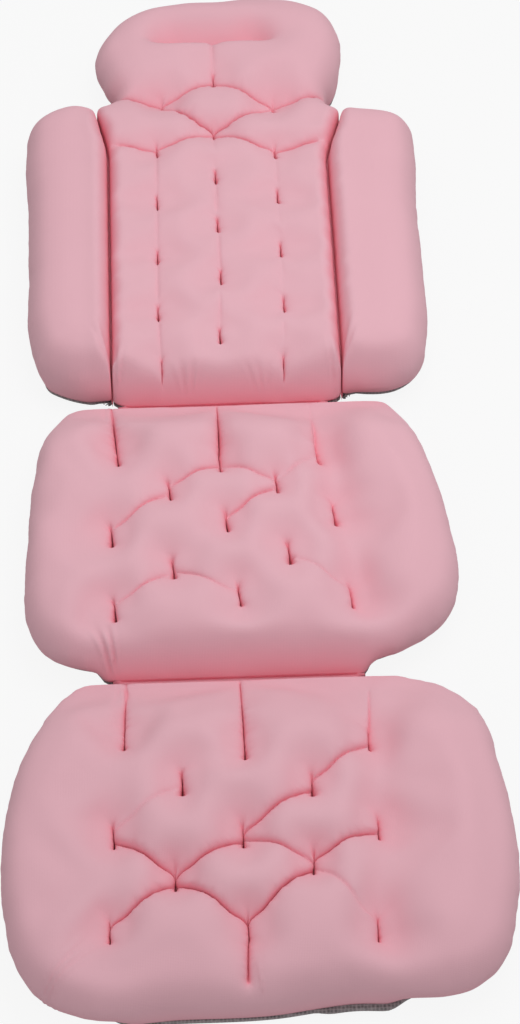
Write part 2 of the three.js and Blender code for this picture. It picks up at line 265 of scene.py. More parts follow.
def even_points(path, spacing):
    """Points at equal steps along a polyline, both ends included."""
    lengths = [0.0]
    for a, b in zip(path, path[1:]):
        lengths.append(lengths[-1] + (b - a).length)
    steps = max(1, round(lengths[-1] / spacing))
    found = []
    k = 0
    for step in range(steps + 1):
        target = lengths[-1] * step / steps
        while k < len(path) - 2 and lengths[k + 1] < target:
            k += 1
        span = max(lengths[k + 1] - lengths[k], least_span)
        found.append(path[k].lerp(path[k + 1], (target - lengths[k]) / span))
    return found


def inside(points, loop):
    """Which plan points lie inside a closed loop."""
    crossed = np.zeros(len(points), bool)
    for a, b in zip(loop, loop[1:] + loop[:1]):
        if a.y == b.y:
            continue
        spans = (a.y > points[:, 1]) != (b.y > points[:, 1])
        left = points[:, 0] < a.x + (b.x - a.x) * (points[:, 1] - a.y) / (b.y - a.y)
        crossed ^= spans & left
    return crossed


def tree_of(points):
    """Search tree over plan points, or one far away if there are none."""
    points = points or [far_away]
    tree = kdtree.KDTree(len(points))
    for k, point in enumerate(points):
        tree.insert(point.to_3d(), k)
    tree.balance()
    return tree


def near(tree, point):
    """Distance from a plan point to the nearest one of a tree."""
    return tree.find(point.to_3d())[2]


def segment_distance(points, a, b):
    """Distances from plan points to the line between two places."""
    start, span = np.array(a), np.array(b - a)
    share = np.clip((points - start) @ span / max(span @ span, least_square), 0, 1)
    return np.linalg.norm(points - start - share[:, None] * span, axis=1)


def flat_sheet(loop, cuts):
    """Plan points and triangles inside a loop, with edges along cuts and points beside them."""
    points = list(loop)
    edges = [(k, (k + 1) % len(loop)) for k in range(len(loop))]
    for line in cuts:
        first = len(points)
        points.extend(line)
        edges.extend((k, k + 1) for k in range(first, len(points) - 1))
    taken = tree_of(points)
    for line in cuts:
        aside = (line[-1] - line[0]).orthogonal().normalized() * slit_lip
        for lip in [point + side * aside for side in (-1, 1) for point in line[1:-1]]:
            if near(taken, lip) > 0.5 * slit_lip and inside(np.array([lip]), loop)[0]:
                points.append(lip)
    taken = tree_of(points)
    low, high = np.min(loop, axis=0), np.max(loop, axis=0)
    row_step = sheet_spacing * math.sqrt(3) / 2
    lattice = []
    for row in range(int((high[1] - low[1]) / row_step) + 1):
        shift = 0.5 * (row % 2)
        for column in range(int((high[0] - low[0]) / sheet_spacing) + 2):
            lattice.append((low[0] + (column + shift) * sheet_spacing, low[1] + row * row_step))
    for point, kept in zip(lattice, inside(np.array(lattice), loop)):
        if kept and taken.find((*point, 0))[2] > lattice_clear:
            points.append(Vector(point))
    found = geometry.delaunay_2d_cdt(points, edges, [], 1, merge_reach)
    return [Vector(point) for point in found[0]], [list(face) for face in found[2]]


def seam_loop(pad, loop):
    """The sewn line of a cushion, with its under-slopes and bare hem."""
    rows = []
    for k, point in enumerate(loop):
        along = (loop[(k + 1) % len(loop)] - loop[k - 1]).normalized()
        inward = Vector((-along.y, along.x))
        draw_in = seam_draw_in
        shown = 0.0
        for a, b, out in pad["bare_hems"]:
            hidden = smooth_step(segment_distance(np.array([point]), a, b)[0] / bare_hem_run)
            draw_in = min(draw_in, seam_draw_in * hidden)
            shown = max(shown, out * (1 - hidden))
        seam = point + inward * draw_in
        under = 0.0
        for axis, line, low, high, gap, side in pad["folds"]:
            run = point[1 - axis]
            if low <= run <= high:
                place = line(run)
                share = 1 - smooth_step((abs(point[axis] - place) - gap) / fold_run)
                share *= end_share(run, low, high, fold_end)
                target = point.copy()
                target[axis] = place + side * fold_clear
                seam = seam.lerp(target, share)
                under = max(under, share * (cross_under if axis == 1 else side_under))
        rows.append((seam, under, shown))
    return zip(*rows)


def shoulder(edges, run):
    """Round rise from an edge, full after a run."""
    return np.sqrt(1 - (1 - np.minimum(edges / run, 1)) ** 2)


def dent(away, radius):
    """Round dent, from 1 in its middle."""
    return np.exp(-((away / radius) ** 2))


def stuffed_heights(pad, points, free_edges, tight_edges, base):
    """Heights of the unswollen cushion, by distances from its edges."""
    rise = shoulder(free_edges, pad["shoulder"]) * shoulder(tight_edges, tight_run)
    for axis, place, run in pad["slopes"]:
        rise *= smooth_steps(np.abs(points[:, axis] - place) / run)
    top = base + (pad["crown"] - base) * rise
    keep = np.ones(len(points))
    for left, right, front_run, back_run, strength in pad["hollows"]:
        along = np.clip((points[:, 0] - left.x) / (right.x - left.x), 0, 1)
        line = left.y + (right.y - left.y) * along
        past = np.maximum(np.maximum(left.x - points[:, 0], points[:, 0] - right.x), 0)
        run = np.where(points[:, 1] < line, front_run, back_run)
        keep *= 1 - strength * np.exp(-(((points[:, 1] - line) / run) ** 2 + (past / hollow_end_run) ** 2))
    for path, radius, share in pad["valleys"]:
        away = np.min([segment_distance(points, a, b) for a, b in zip(path, path[1:])], axis=0)
        keep *= 1 - share * dent(away, radius)
    for a, b in pad["slits"]:
        away = segment_distance(points, a, b)
        depth = 1 - slit_fade * smooth_steps((points[:, 1] - a.y) / (b.y - a.y))
        keep *= 1 - depth * dent(away, slit_radius)
        keep *= 1 - pad["dip"] * dent(away, pad["dip_radius"])
    for a, b, strength in pad["creases"]:
        away = segment_distance(points, a, b)
        wide = crease_wide * np.exp(-away / crease_radius)
        keep *= 1 - strength * (wide + crease_narrow * dent(away, slit_radius))
    floor = np.minimum(tuft_z, top)
    return floor + (top - floor) * keep


def tight_share(pad, point):
    """How far a rim point is pressed at a side fold, from 0 to 1."""
    for axis, line, low, high, gap, side in pad["folds"]:
        away = abs(point.x - line(point.y)) - gap
        if axis == 0 and away < tight_reach:
            return end_share(point.y, low, high, tight_end) * (1 - smooth_step(away / tight_reach))
    return 0.0


def rim_measures(points, loop, tight):
    """Distances from the free and the tight rim, and base levels."""
    free_rim = tree_of([point for point, share in zip(loop, tight) if share < 0.5])
    tight_rim = tree_of([point for point, share in zip(loop, tight) if share >= 0.5])
    free_edges = np.array([near(free_rim, point) for point in points])
    tight_edges = np.array([near(tight_rim, point) for point in points])
    whole_rim = tree_of(loop)
    nearest = [whole_rim.find(point.to_3d()) for point in points]
    pressed = np.array([tight[found[1]] for found in nearest])
    pressed *= 1 - smooth_steps(np.array([found[2] for found in nearest]) / press_run)
    return free_edges, tight_edges, girth_z + (tight_z - girth_z) * pressed


def add_walls(mesh, rim, loop, seams, tight):
    """Adds rounded walls down to the sewn line, and gives their last ring."""
    ring = rim
    girths = [girth_z + (tight_z - girth_z) * share for share in tight]
    for step in range(1, wall_rings + 1):
        turn = math.pi / 2 * step / wall_rings
        below = []
        for outer, seam, high in zip(loop, seams, girths):
            place = outer.lerp(seam, 1 - math.cos(turn))
            below.append(mesh.verts.new((place.x, place.y, high - (high - seam_z) * math.sin(turn))))
        for k in range(len(ring)):
            after = (k + 1) % len(ring)
            mesh.faces.new((ring[k], below[k], below[after], ring[after]))
        ring = below
    return ring


def cushion(pad):
    """A stuffed cushion, swollen as cloth, with its sewn line."""
    loop = closed_curve(pad["outline"], sheet_spacing)
    seams, unders, bared = seam_loop(pad, loop)
    slit_lines = [even_points([a, b], slit_spacing) for a, b in pad["slits"]]
    sharp_lines = slit_lines + [even_points([a, b], sheet_spacing) for a, b, strength in pad["creases"]]
    points, faces = flat_sheet(loop, sharp_lines)
    tight = [tight_share(pad, point) for point in loop]
    heights = stuffed_heights(pad, np.array(points), *rim_measures(points, loop, tight))
    mesh = bmesh.new()
    sheet = [mesh.verts.new((point.x, point.y, height)) for point, height in zip(points, heights)]
    for face in faces:
        mesh.faces.new([sheet[k] for k in face])
    finder = tree_of(points)
    rim = [sheet[finder.find(p.to_3d())[1]] for p in loop]
    hem = add_walls(mesh, rim, loop, seams, tight)
    bmesh.ops.recalc_face_normals(mesh, faces=mesh.faces)
    mesh.verts.index_update()
    slit_tree = tree_of([point for line in slit_lines for point in line])
    sharp_tree = tree_of([point for line in sharp_lines for point in line])
    sharpness = mesh.edges.layers.float.new("crease_edge")
    on_line = [near(sharp_tree, point) < same_place for point in points]
    for edge in mesh.edges:
        a, b = (vertex.index for vertex in edge.verts)
        if a < len(points) and b < len(points) and on_line[a] and on_line[b]:
            edge[sharpness] = crease_sharpness
    pinned = [vertex for vertex, point in zip(sheet, points) if near(slit_tree, point) < same_place]
    pinned.extend(vertex for vertex, share in zip(rim, tight) if share > 0.5)
    pins = [vertex.index for vertex in pinned + hem]
    piece = linked(pad["name"], mesh_data(mesh, pad["name"]))
    swell(piece, pins, pad["slack"])
    settle(piece, pad, set(pins))
    round_and_close(piece)
    wrinkle(piece, pad["gathers"])
    return piece, seams, unders, bared


def swell(piece, pins, slack):
    """Swells the sheet as cloth held at its seam and tufts."""
    group = piece.vertex_groups.new(name="pins")
    group.add(pins, 1.0, "REPLACE")
    start = [vertex.co.copy() for vertex in piece.data.vertices]
    modifier = piece.modifiers.new("cloth", "CLOTH")
    cloth = modifier.settings
    for key, value in cloth_settings.items():
        setattr(cloth, key, value)
    cloth.vertex_group_mass = "pins"
    cloth.shrink_min = -slack
    cloth.effector_weights.gravity = 0
    modifier.collision_settings.use_collision = False
    modifier.point_cache.frame_start = 1
    modifier.point_cache.frame_end = cloth_frames
    scene = bpy.context.scene
    for number in range(1, cloth_frames + 1):
        scene.frame_set(number)
    view = bpy.context.evaluated_depsgraph_get()
    swollen = [vertex.co.copy() for vertex in piece.evaluated_get(view).data.vertices]
    piece.modifiers.remove(modifier)
    piece.vertex_groups.remove(group)
    scene.frame_set(1)
    for vertex, before, after in zip(piece.data.vertices, start, swollen):
        move = after - before
        if move.length > cloth_cap:
            move = move.normalized() * cloth_cap
        vertex.co = before + move


def read_points(data, key):
    """A property of a mesh's points, in rows of three."""
    values = np.empty(len(data.vertices) * 3)
    data.vertices.foreach_get(key, values)
    return values.reshape(-1, 3)


def neighbour_means(places, pairs):
    """Mean place of each point's neighbours."""
    summed = np.zeros_like(places)
    np.add.at(summed, pairs[:, 0], places[pairs[:, 1]])
    np.add.at(summed, pairs[:, 1], places[pairs[:, 0]])
    return summed / np.bincount(pairs.ravel(), minlength=len(places))[:, None]


def settle(piece, pad, held):
    """Evens out the cover, shapes it at seams and folds, and closes its slits and creases."""
    places = read_points(piece.data, "co")
    pairs = np.empty(len(piece.data.edges) * 2, int)
    piece.data.edges.foreach_get("vertices", pairs)
    pairs = pairs.reshape(-1, 2)
    even_out(places, pairs, pad, held)
    close_seams(places, pairs, pad)
    clear_folds(places, pad)
    for a, b, strength in pad["creases"]:
        pinch(places, a, b, crease_pinch * min(2 * strength, 1), crease_pinch_reach)
    for a, b in pad["slits"]:
        pinch(places, a, b, slit_pinch, slit_pinch_reach)
    piece.data.vertices.foreach_set("co", places.ravel())


def even_out(places, pairs, pad, held):
    """Smooths ripples away from held points, slits, creases and bolster seams."""
    sharp = np.full(len(places), 1.0)
    for a, b in pad["slits"]:
        sharp = np.minimum(sharp, segment_distance(places[:, :2], a, b) / settle_clear)
    for a, b, strength in pad["creases"]:
        sharp = np.minimum(sharp, crease_ease + segment_distance(places[:, :2], a, b) / settle_clear)
    for away, side, near_line, ends in side_offsets(pad, places):
        sharp = np.where(near_line, np.minimum(sharp, seam_ease + np.abs(away) / tight_ease), sharp)
    ease = np.clip(sharp, 0, 1)[:, None]
    ease[list(held)] = 0
    for turn in range(settle_turns):
        for pull in settle_pulls:
            places += pull * ease * (neighbour_means(places, pairs) - places)


def side_offsets(pad, places):
    """For each bolster seam: offsets, the cushion's side, points near it and a fade at its top."""
    found = []
    for axis, line, low, high, gap, side in pad["folds"]:
        if axis == 0:
            away = places[:, 0] - np.array([line(y) for y in places[:, 1]])
            near_line = (np.abs(away) < side_reach) & (places[:, 1] > low) & (places[:, 1] < high)
            ends = smooth_steps((high - places[:, 1]) / hug_end)
            found.append((away, side, near_line, ends))
    return found


def least_offsets(places):
    """How far points must stay from a bolster seam."""
    return fold_clear + side_lean * np.maximum(places[:, 2] - seam_z, 0)


def close_seams(places, pairs, pad):
    """Smooths walls at the bolster seams and draws them to the seam."""
    for turn in range(seam_turns):
        evened = neighbour_means(places, pairs)
        for away, side, near_line, ends in side_offsets(pad, places):
            eased = seam_pull * near_line * (1 - smooth_steps(np.abs(away) / side_reach))
            places += eased[:, None] * (evened - places)
            short = np.maximum(least_offsets(places) - side * away, 0)
            places[:, 0] += np.where(near_line, side * short, 0)
    for away, side, near_line, ends in side_offsets(pad, places):
        spare = np.clip(side * away - least_offsets(places), 0, hug_reach)
        hug = near_line * ends * (1 - smooth_steps((places[:, 2] - hug_low) / (hug_high - hug_low)))
        places[:, 0] -= side * hug * spare * (1 - spare / hug_reach)


def clear_folds(places, pad):
    """Leans the ends of a cushion back from its cross folds."""
    for line, side, lean in pad["clears"]:
        rise = np.maximum(places[:, 2] - axis_z, 0)
        away = side * (places[:, 1] - line)
        spare = away - fold_clear - lean * rise
        soft = lean_softness * np.maximum(places[:, 2] - seam_z, 0)
        eased = (spare + np.sqrt(spare ** 2 + soft ** 2)) / 2
        move = (eased - spare) * (1 - smooth_steps((away - fold_reach) / fold_reach))
        places[:, 1] += side * move


def line_offsets(places, a, b):
    """Offsets along and across a line, and the direction across."""
    along = np.array((b - a).normalized())
    across = np.array((-along[1], along[0]))
    offsets = places[:, :2] - np.array(a)
    return offsets @ along, offsets @ across, across


def pinch(places, a, b, share, reach):
    """Draws points near a line together, so that the cloth closes over it."""
    run, aside, across = line_offsets(places, a, b)
    past = np.maximum(np.maximum(-run, run - (b - a).length), 0)
    hold = share * np.clip(1 - past / pinch_run, 0, 1)
    hold *= 1 - smooth_steps((np.abs(aside) - pinch_flat) / (reach - pinch_flat))
    places[:, :2] -= (hold * aside)[:, None] * across


def wrinkle(piece, gathers):
    """Raises small folds of drawn-in cloth along the surface."""
    places = read_points(piece.data, "co")
    normals = read_points(piece.data, "normal")
    lift = np.zeros(len(places))
    for tip, end, width, folds, height in gathers:
        run, aside, across = line_offsets(places, tip, end)
        run = run / (end - tip).length
        aside = aside / (width * (wrinkle_tip + (1 - wrinkle_tip) * np.clip(run, 0, 1)))
        share = smooth_steps(run / wrinkle_rise)
        share *= 1 - smooth_steps((run - wrinkle_fade) / (1 - wrinkle_fade))
        share *= 1 - smooth_steps(np.abs(aside) * 2 - wrinkle_flat)
        lift += height * share * np.cos(math.tau * folds * aside)
    lift *= places[:, 2] > seam_z + wrinkle_clear
    places += lift[:, None] * normals
    piece.data.vertices.foreach_set("co", places.ravel())


def round_and_close(piece):
    """Rounds the sheet with one subdivision and closes it flat along its seam."""
    rounding = piece.modifiers.new("rounding", "SUBSURF")
    rounding.levels = 1
    rounding.render_levels = 1
    view = bpy.context.evaluated_depsgraph_get()
    rounded = bpy.data.meshes.new_from_object(piece.evaluated_get(view))
    piece.modifiers.remove(rounding)
    piece.data = rounded
    mesh = bmesh.new()
    mesh.from_mesh(rounded)
    close_holes(mesh)
    bmesh.ops.recalc_face_normals(mesh, faces=mesh.faces)
    mesh.to_mesh(rounded)
    mesh.free()
    shade_smooth(rounded)


def close_holes(mesh):
    """Closes the open edges of an edited mesh with triangles."""
    hem = [edge for edge in mesh.edges if edge.is_boundary]
    caps = bmesh.ops.holes_fill(mesh, edges=hem, sides=0)["faces"]
    bmesh.ops.triangulate(mesh, faces=caps)


def mesh_data(mesh, name):
    """Mesh data from an edited mesh, which is freed."""
    data = bpy.data.meshes.new(name)
    mesh.to_mesh(data)
    mesh.free()
    return data


def shade_smooth(data):
    """Shades a mesh smooth."""
    for face in data.polygons:
        face.use_smooth = True


def linked(name, data):
    """A new object of the scene."""
    made = bpy.data.objects.new(name, data)
    bpy.context.collection.objects.link(made)
    return made


def plan(points):
    """Plan points given in millimetres."""
    return [Vector((x * MM, y * MM)) for x, y in points]


def flared(place, flare, start, run):
    """A bolster seam that flares out at its top, in millimetres."""
    return lambda y: (place + flare * smooth_step((y / MM - start) / run)) * MM


def beside(line, side, stops):
    """Outline points along a bolster seam, at stops in millimetres."""
    return [Vector((line(y * MM) + side * side_fold_gap, y * MM)) for y in stops]


def cross_fold(place, span, side):
    """A fold across: axis, line, ends and gap, and the cushion's side."""
    return (1, lambda x: place, *span, cross_fold_gap, side)


def side_fold(seam, end, side):
    """A bolster fold, given in the same way."""
    return (0, seam, 0, end, side_fold_gap, side)


def upright_slits(points, half_length, lean):
    """Sewn slits centred at points and leaning to the left, in millimetres."""
    reach = Vector((-lean * MM, half_length * MM))
    return [(point - reach, point + reach) for point in plan(points)]


def folds_of(listed):
    """Gathers given as tip, far end, width, number of folds and height."""
    return [(*plan((tip, end)), width * MM, folds, height * MM) for tip, end, width, folds, height in listed]


def lines(listed):
    """Lines given by their ends in millimetres, each with a value."""
    return [(*plan((a, b)), strength) for a, b, strength in listed]


def column_lines(tufts, strength):
    """Faint creases from tuft to tuft of a column."""
    return lines([(a, b, strength) for a, b in zip(tufts, tufts[1:])])


# Details that a cushion has only where it lists them
plain = {"bare_hems": [], "valleys": [], "slopes": [], "hollows": [], "slits": [], "creases": []}

# Seams: reach across of the knee and the hip, and lines and top ends of the bolsters
knee_span = (-130 * MM, 116 * MM)
hip_span = (-112 * MM, 106 * MM)
left_seam = flared(-109, -13, 345, 85)
right_seam = flared(101, 18, 332, 86)
left_seam_end = 424 * MM
right_seam_end = 412 * MM

# Leg cushion
leg_tufts = [
    (-102, -321), (-3, -338), (100, -328),
    (-55, -371), (51, -375),
    (-112, -416), (-7, -421), (103, -414),
    (-63, -458), (49, -448),
    (-116, -505), (-6, -506), (97, -509),
]
leg = {
    **plain,
    "name": "leg_cushion",
    "bodies": ["leg"],
    "dip": 0.34,
    "dip_radius": 21 * MM,
    "slack": 0.03,
    "shoulder": 66 * MM,
    "crown": 72 * MM,
    "outline": plan([
        (-140, -567), (-60, -567), (15, -566), (48, -561), (78, -558), (104, -559), (130, -560), (170, -554),
        (196, -532), (209, -492), (215, -445), (213, -400), (207, -350), (202, -315), (192, -288),
        (170, -266), (142, -254), (112, -246), (40, -245), (-60, -245), (-130, -246), (-148, -258),
        (-162, -280), (-178, -312), (-192, -350), (-201, -400), (-203, -440), (-199, -485), (-189, -526),
        (-170, -552),
    ]),
    "folds": [cross_fold(knee_y, knee_span, -1)],
    "clears": [(knee_y, -1, gentle_lean)],
    "bare_hems": lines([((-96, -567), (60, -560), 2 * MM), ((60, -560), (100, -558), 5 * MM)]),
    "valleys": [
        (plan([(-102, -321), (-113, -416), (-118, -505)]), 26 * MM, 0.18),
        (plan([(104, -300), (109, -414), (104, -514)]), 23 * MM, 0.36),
    ],
    "gathers": folds_of([
        ((-172, -560), (-122, -508), 40, 4, 0.7),
        ((4, -566), (-2, -528), 9, 1, 0.8),
        ((-104, -252), (-104, -290), 30, 2, 0.9),
    ]),
    "slopes": [(1, knee_y, 100 * MM)],
    "slits": upright_slits(leg_tufts, half_length=8, lean=0),
    "creases": lines([
        ((-102, -321), (-100, -248), 0.8), ((-3, -338), (-4, -252), 0.5), ((100, -328), (104, -270), 0.3),
        ((-6, -506), (-8, -551), 0.45), ((100, -328), (51, -375), 0.25), ((-112, -416), (-55, -371), 0.1),
        ((51, -375), (-7, -421), 0.34), ((-7, -421), (49, -448), 0.26), ((-7, -421), (-63, -458), 0.4),
        ((-112, -416), (-63, -458), 0.4), ((103, -414), (49, -448), 0.4), ((-63, -458), (-116, -505), 0.42),
        ((-63, -458), (-6, -506), 0.42), ((49, -448), (-6, -506), 0.42), ((49, -448), (97, -509), 0.12),
    ]),
}

# Seat cushion
seat_tufts = [
    (-104, -19), (-14, -33), (72, -20),
    (-59, -64), (35, -60),
    (-110, -109), (-10, -101), (84, -88),
    (-57, -152), (43, -137),
    (-108, -189), (-2, -181), (94, -179),
]
seat = {
    **plain,
    "name": "seat_cushion",
    "bodies": ["seat"],
    "dip": 0.32,
    "dip_radius": 21 * MM,
    "slack": 0.03,
    "shoulder": 60 * MM,
    "crown": 70 * MM,
    "outline": plan([
        (-128, -234), (-60, -235), (50, -235), (102, -234), (128, -226), (154, -212), (178, -190),
        (188, -160), (186, -110), (177, -50), (164, 0), (152, 32), (141, 50), (127, 58), (50, 60),
        (-50, 60), (-134, 58), (-150, 49), (-163, 30), (-174, 0), (-180, -40), (-184, -100),
        (-186, -150), (-184, -188), (-172, -213), (-152, -227),
    ]),
    "folds": [cross_fold(knee_y, knee_span, 1), cross_fold(hip_y, hip_span, -1)],
    "clears": [(knee_y, 1, steep_lean), (hip_y, -1, gentle_lean)],
    "valleys": [
        (plan([(-104, -17), (-112, -108), (-110, -189)]), 26 * MM, 0.15),
        (plan([(78, 50), (80, -20), (93, -88), (104, -186)]), 22 * MM, 0.42),
    ],
    "gathers": folds_of([
        ((-110, -238), (-124, -200), 36, 3, 1.4),
        ((-112, 58), (-112, 18), 30, 2, 0.9),
    ]),
    "slopes": [(1, hip_y, 80 * MM)],
    "slits": upright_slits(seat_tufts, half_length=8, lean=0.8),
    "creases": lines([
        ((-104, -19), (-110, 56), 0.8), ((-14, -33), (-14, 58), 0.7), ((72, -20), (70, 52), 0.4),
        ((-53, -58), (-20, -37), 0.2), ((-8, -36), (29, -56), 0.17), ((-103, -102), (-66, -70), 0.18),
        ((-6, -96), (28, -66), 0.2), ((68, -24), (40, -56), 0.08), ((-102, -184), (-64, -158), 0.14),
        ((-50, -155), (-10, -177), 0.07), ((50, -143), (88, -174), 0.07),
    ]),
}

# Head and back cushion: one quilted panel from the hip to the top of the head
side_stops = [73, 80, 130, 190, 250, 310, 340, 360, 380]
left_stops = [*side_stops, 418]
right_stops = [*side_stops, 408]
back_left = [(-62, 353), (-63, 283), (-64, 213), (-65, 143), (-63, 83)]
back_centre = [(-7, 377), (-7, 313), (-7, 250), (-6, 185), (-9, 112)]
back_right = [(51, 346), (51, 286), (51, 217), (51, 149), (48, 83)]
neck_tufts = [(-56, 421), (52, 415)]
head_tuft = (-5, 446)
back_tufts = back_left + back_centre + back_right + neck_tufts + [head_tuft]
head_back = {
    **plain,
    "name": "head_back_cushion",
    "bodies": ["back", "head"],
    "dip": 0.2,
    "dip_radius": 25 * MM,
    "slack": 0.02,
    "shoulder": 44 * MM,
    "crown": 66 * MM,
    "outline": plan([(-102, 70), (-40, 70), (40, 70), (94, 70)])
    + beside(right_seam, -1, right_stops)
    + plan([
        (113, 415), (105, 429), (107, 440), (113, 455), (119, 474), (123, 494), (123, 518), (112, 547),
        (86, 564), (50, 571), (0, 570), (-40, 566), (-70, 559), (-95, 544), (-113, 520), (-122, 494),
        (-116, 470), (-108, 450), (-101, 438), (-113, 426),
    ])
    + beside(left_seam, 1, left_stops[::-1]),
    "folds": [
        cross_fold(hip_y, hip_span, 1),
        side_fold(right_seam, right_seam_end, -1),
        side_fold(left_seam, left_seam_end, 1),
    ],
    "clears": [(hip_y, 1, steep_lean)],
    "bare_hems": lines([((117, 468), (112, 454), 0)]),
    "valleys": [
        (plan([(x - 36, y - 4), (x, y), (x + 26, y - 5)]), 10 * MM, 0.06)
        for x, y in back_left[1:4] + back_right[1:4]
    ] + [
        (plan([(-66, 424), (-46, 426)]), 17 * MM, 0.22),
        (plan([(40, 419), (64, 424)]), 17 * MM, 0.25),
    ],
    "gathers": folds_of([
        ((-104, 72), (-98, 112), 24, 2, 0.9),
        ((-40, 70), (-40, 92), 60, 4, 0.7),
        ((30, 70), (30, 90), 60, 4, 0.6),
        ((96, 72), (92, 110), 24, 2, 0.9),
    ]),
    "hollows": [(*plan([(-42, 499), (34, 502)]), 5 * MM, 28 * MM, 0.6)],
    "slits": upright_slits(back_tufts, half_length=5, lean=0),
    "creases": lines([
        ((-62, 353), (-7, 377), 0.28), ((51, 346), (-7, 377), 0.28), ((-56, 421), (-7, 377), 0.45),
        ((52, 415), (-7, 377), 0.45), ((-56, 421), (-5, 446), 0.35), ((52, 415), (-5, 446), 0.35),
        ((-56, 421), (-96, 430), 0.5), ((52, 415), (98, 426), 0.5), ((-62, 353), (-102, 358), 0.28),
        ((51, 346), (94, 356), 0.28), ((-63, 83), (-64, 72), 0.5), ((48, 83), (47, 72), 0.5),
        ((-5, 446), (-5, 492), 0.1), ((-58, 500), (-5, 497), 0.12), ((-5, 497), (48, 500), 0.12),
    ]) + column_lines(back_left, 0.06) + column_lines(back_centre, 0.03) + column_lines(back_right, 0.02),
}

# Bolsters: what both share, and then each
smooth_bolster = {
    **plain,
    "slack": 0.0,
    "shoulder": 40 * MM,
    "crown": 70 * MM,
    "clears": [(hip_y, 1, bolster_lean)],
}
left_bolster = {
    **smooth_bolster,
    "name": "left_bolster_cushion",
    "bodies": ["left_bolster"],
    "outline": beside(left_seam, -1, left_stops) + plan([
        (-134, 424), (-152, 422), (-173, 412), (-187, 396), (-190, 372), (-188, 290), (-187, 205),
        (-185, 128), (-176, 98), (-154, 82), (-122, 73),
    ]),
    "folds": [side_fold(left_seam, left_seam_end, -1)],
    "bare_hems": lines([((-166, 86), (-130, 74), 0)]),
    "gathers": folds_of([((-112, 90), (-124, 130), 26, 2, 0.9)]),
}
right_bolster = {
    **smooth_bolster,
    "name": "right_bolster_cushion",
    "bodies": ["right_bolster"],
    "outline": plan([
        (114, 70), (156, 73), (175, 88), (183, 118), (186, 205), (186, 290), (189, 366),
        (187, 386), (174, 400), (149, 408), (132, 410),
    ]) + beside(right_seam, 1, right_stops[::-1]),
    "folds": [side_fold(right_seam, right_seam_end, 1)],
    "gathers": folds_of([((104, 90), (116, 130), 26, 2, 0.9)]),
}


def set_inputs(owner, values):
    """Sets inputs of a node by their names."""
    for name, value in values.items():
        owner.inputs[name].default_value = value


def material(name, colour, roughness):
    """A new node material with its tree and its shader."""
    made = bpy.data.materials.new(name)
    made.use_nodes = True
    shader = made.node_tree.nodes["Principled BSDF"]
    set_inputs(shader, {"Base Color": (*colour, 1), "Roughness": roughness})
    return made, made.node_tree, shader


def node(tree, kind, **settings):
    """A node of a material with its settings."""
    made = tree.nodes.new("ShaderNode" + kind)
    for key, value in settings.items():
        setattr(made, key, value)
    return made


def pattern(tree, kind, inputs, **settings):
    """The outputs of a texture laid out over the object's own places."""
    made = node(tree, kind, **settings)
    set_inputs(made, inputs)
    tree.links.new(node(tree, "TexCoord").outputs["Object"], made.inputs["Vector"])
    return made.outputs


def wave(tree, axis, pitch):
    """Ridges of a given pitch along an axis, as a value from 0 to 1."""
    settings = {"wave_type": "BANDS", "bands_direction": axis, "wave_profile": "SIN"}
    return pattern(tree, "TexWave", {"Scale": math.pi / 10 / pitch}, **settings)["Fac"]


def sum_of(tree, first, second, operation="ADD"):
    """Two values joined by a sum or another operation."""
    made = node(tree, "Math", operation=operation)
    for slot, value in zip(made.inputs, (first, second)):
        if isinstance(value, (int, float)):
            slot.default_value = value
        else:
            tree.links.new(value, slot)
    return made.outputs[0]


def mixed_colour(tree, share, first, second):
    """A colour between two others by a share."""
    ramp = node(tree, "ValToRGB")
    ramp.color_ramp.elements[0].color = (*first, 1)
    ramp.color_ramp.elements[1].color = (*second, 1)
    tree.links.new(share, ramp.inputs["Fac"])
    return ramp.outputs["Color"]


def colour_socket(sockets, name):
    """The colour among the sockets of one name."""
    return [socket for socket in sockets if socket.name == name and socket.type == "RGBA"][0]


def add_relief(tree, shader, height, strength, depth):
    """Fine relief of a surface."""
    bump = node(tree, "Bump")
    set_inputs(bump, {"Strength": strength, "Distance": depth})
    tree.links.new(height, bump.inputs["Height"])
    tree.links.new(bump.outputs["Normal"], shader.inputs["Normal"])


def knit_material():
    """Matt pink stretch knit: fine ribs, a soft nap, slight random changes of tone, and painted shade and
    pink glow in its valleys.
    """
    made, tree, shader = material("pink_knit", (0.70, 0.43, 0.475), roughness=0.88)
    ribs = sum_of(tree, wave(tree, "X", rib_pitch), wave(tree, "Y", course_pitch))
    nap = pattern(tree, "TexNoise", {"Scale": 900})["Fac"]
    add_relief(tree, shader, sum_of(tree, ribs, nap), strength=0.1, depth=0.3 * MM)
    shades = pattern(tree, "TexNoise", {"Scale": 14, "Detail": 5})["Fac"]
    colour = mixed_colour(tree, shades, (0.71, 0.398, 0.458), (0.74, 0.422, 0.482))
    # Painted shade and pink glow: the base colour turns deeper red where the AO node finds the surface
    # hidden
    hidden = node(tree, "AmbientOcclusion", samples=8)
    set_inputs(hidden, {"Distance": painted_shade_reach})
    valleys = node(tree, "Mix", data_type="RGBA")
    tree.links.new(hidden.outputs["AO"], valleys.inputs["Factor"])
    colour_socket(valleys.inputs, "A").default_value = (*painted_valley_shade, 1)
    tree.links.new(colour, colour_socket(valleys.inputs, "B"))
    tree.links.new(colour_socket(valleys.outputs, "Result"), shader.inputs["Base Color"])
    set_inputs(shader, {"Sheen Weight": 0.12, "Sheen Roughness": 0.6, "Sheen Tint": (1.0, 0.82, 0.85, 1)})
    set_inputs(shader, {"Specular IOR Level": 0.25})
    return made


